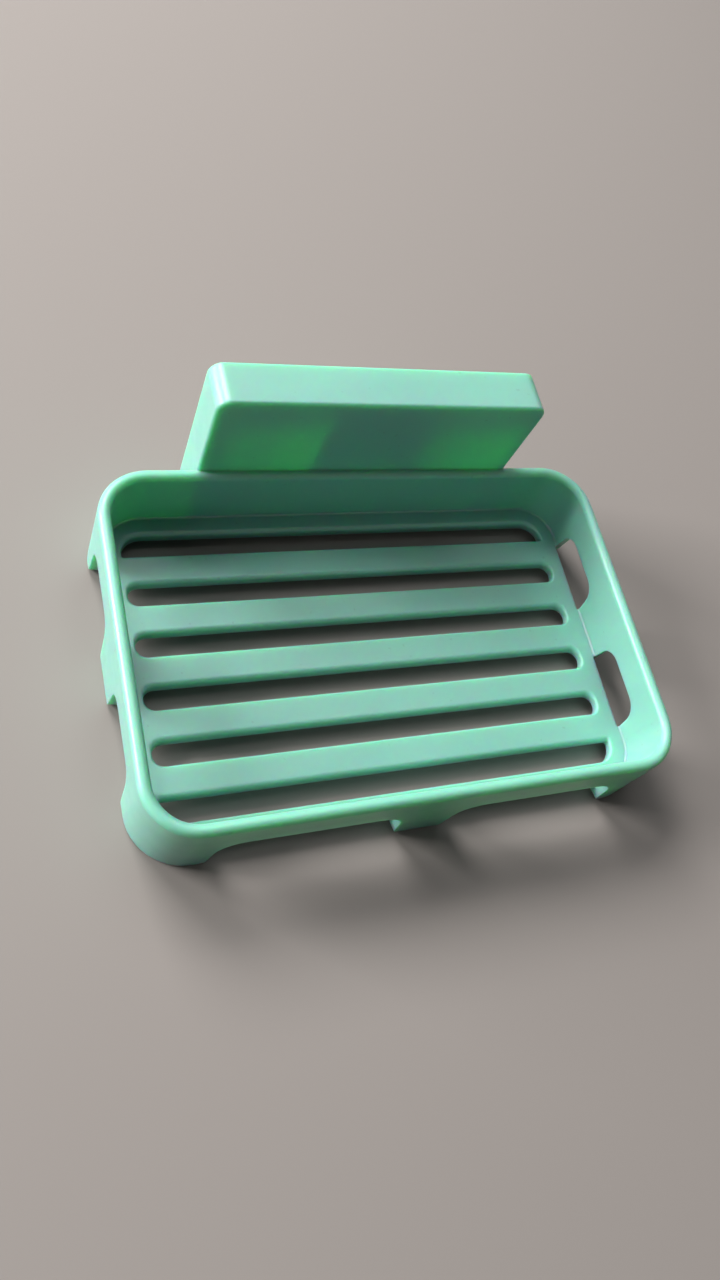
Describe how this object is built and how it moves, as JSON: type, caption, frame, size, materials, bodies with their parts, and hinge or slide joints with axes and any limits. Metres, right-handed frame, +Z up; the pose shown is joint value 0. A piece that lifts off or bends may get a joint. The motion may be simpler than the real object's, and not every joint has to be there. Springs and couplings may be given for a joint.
{
  "type": "wall soap dish",
  "caption": "Rectangular slatted soap tray with a rounded rim, feet between drain windows and a hollow rear housing that drops over a stick-on hook plate.",
  "frame": {"origin": "on the surface the feet stand on, under the middle of the whole object", "axes": "+X to the right along the dish, +Y from the front of the dish to the wall, +Z up"},
  "size_m": [0.1242, 0.0918, 0.0449],
  "materials": {
    "mint_plastic": "satin, slightly translucent",
    "clear_plastic": "clear, glossy",
    "clear_film": "clear film",
    "gel": "soft clear gel"
  },
  "bodies": {
    "wall_fixing": {"hook_plate": "clear_plastic", "carrier_film": "clear_film", "adhesive_layer": "gel"},
    "tray": {"soap_tray": "mint_plastic"}
  },
  "joints": [
    {"name": "lift_off", "type": "slide", "parent": "wall_fixing", "child": "tray", "axis": [0, 0, 1], "range_m": [0, 0.018]}
  ]
}
